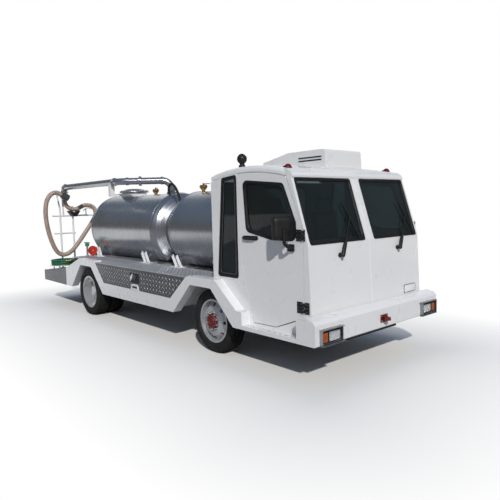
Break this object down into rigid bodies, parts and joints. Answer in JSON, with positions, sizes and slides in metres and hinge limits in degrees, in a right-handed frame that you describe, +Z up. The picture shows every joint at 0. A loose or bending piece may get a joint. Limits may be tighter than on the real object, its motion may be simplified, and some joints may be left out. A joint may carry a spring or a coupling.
{
  "type": "aircraft lavatory service truck",
  "caption": "Airport truck that empties aircraft toilets: flat-fronted cab, stainless waste and water tanks on a low deck, overhead pipe with hanging drain hose at the rear.",
  "frame": {"origin": "on the ground, under the middle of the truck's box", "axes": "+X forward along the truck, +Y to the truck's left side, +Z up"},
  "size_m": [7.012, 2.3346, 2.312],
  "materials": {
    "white_paint": "gloss white paint",
    "black_paint": "satin black chassis paint",
    "stainless": "brushed stainless steel",
    "tread_plate": "raised-bar aluminium tread plate",
    "brass": "dull cast brass",
    "red_paint": "gloss red paint",
    "black_plastic": "matt black plastic",
    "rubber": "black rubber hose",
    "tyre": "worn tyre rubber",
    "rim": "silver wheel paint",
    "glass": "tinted glass",
    "lamp": "clear and amber lamp lens",
    "red_lamp": "red lamp lens",
    "steel": "dark forged steel",
    "drain_hose": "brown translucent ribbed hose",
    "coupling": "dark grey cast coupling",
    "green_hose": "green rinse hose",
    "seat": "grey seat fabric",
    "trim": "dark grey cab trim",
    "guard": "grey lamp guard"
  },
  "bodies": {
    "chassis": {"chassis_frame": "black_paint", "front_axle": "black_paint", "rear_axle": "black_paint", "leaf_springs": "steel", "power_unit": "steel", "fuel_tank": "black_paint", "deck": "tread_plate", "skirts": "white_paint", "tread_panels": "tread_plate", "rear_platform": "tread_plate", "rear_rack": "white_paint", "waste_tank": "stainless", "water_tank": "stainless", "tank_saddles": "stainless", "manway_cover": "stainless", "discharge_pipe": "stainless", "pipe_post": "white_paint", "brass_valves": "brass", "vent_hose": "rubber", "drain_valve": "red_paint", "drain_hose": "drain_hose", "hose_coupling": "coupling", "rinse_hose": "green_hose", "cab_floor": "trim", "cab_front": "white_paint", "cab_rear": "white_paint", "quarter_panels": "white_paint", "roof": "white_paint", "bumper": "white_paint", "tow_eye": "red_paint", "headlamps": "lamp", "lamp_guards": "guard", "cab_glass": "glass", "wipers": "black_plastic", "air_conditioner": "white_paint", "marker_lamps": "red_lamp", "work_lamp": "black_plastic", "seats": "seat", "dashboard": "trim"},
    "door_right": {"door_right": "white_paint", "door_glass_right": "glass", "door_fittings_right": "black_plastic"},
    "door_left": {"door_left": "white_paint", "door_glass_left": "glass", "door_fittings_left": "black_plastic"},
    "knuckle_right": {"knuckle_right": "steel"},
    "knuckle_left": {"knuckle_left": "steel"},
    "tie_rod": {"tie_rod": "steel"},
    "wheel_front_right": {"rim_front_right": "rim", "tyre_front_right": "tyre"},
    "wheel_front_left": {"rim_front_left": "rim", "tyre_front_left": "tyre"},
    "wheel_rear_right": {"rim_rear_right": "rim", "tyre_rear_right": "tyre"},
    "wheel_rear_left": {"rim_rear_left": "rim", "tyre_rear_left": "tyre"}
  },
  "joints": [
    {"name": "door_right_hinge", "type": "hinge", "parent": "chassis", "child": "door_right", "pos_m": [3.187, -0.964, 1.1], "axis": [0, 0, 1], "range_deg": [0, 75]},
    {"name": "door_left_hinge", "type": "hinge", "parent": "chassis", "child": "door_left", "pos_m": [3.187, 0.964, 1.1], "axis": [0, 0, -1], "range_deg": [0, 75]},
    {"name": "steer_right", "type": "hinge", "parent": "chassis", "child": "knuckle_right", "pos_m": [1.662, -0.7, 0.38], "axis": [0, 0, 1], "range_deg": [-32, 32]},
    {"name": "steer_left", "type": "hinge", "parent": "chassis", "child": "knuckle_left", "pos_m": [1.662, 0.7, 0.38], "axis": [0, 0, 1], "range_deg": [-32, 32]},
    {"name": "tie_rod_pivot", "type": "hinge", "parent": "knuckle_right", "child": "tie_rod", "pos_m": [1.492, -0.7, 0.287], "axis": [0, 0, 1], "range_deg": [-32, 32]},
    {"name": "wheel_front_right_spin", "type": "hinge", "parent": "knuckle_right", "child": "wheel_front_right", "pos_m": [1.662, -0.7955, 0.38], "axis": [0, 1, 0], "continuous": true},
    {"name": "wheel_front_left_spin", "type": "hinge", "parent": "knuckle_left", "child": "wheel_front_left", "pos_m": [1.662, 0.7955, 0.38], "axis": [0, 1, 0], "continuous": true},
    {"name": "wheel_rear_right_spin", "type": "hinge", "parent": "chassis", "child": "wheel_rear_right", "pos_m": [-1.552, -0.7995, 0.38], "axis": [0, 1, 0], "continuous": true},
    {"name": "wheel_rear_left_spin", "type": "hinge", "parent": "chassis", "child": "wheel_rear_left", "pos_m": [-1.552, 0.7995, 0.38], "axis": [0, 1, 0], "continuous": true}
  ],
  "couplings": [
    {"joint": "steer_left", "follows": "steer_right", "ratio": 1},
    {"joint": "tie_rod_pivot", "follows": "steer_right", "ratio": -1}
  ]
}
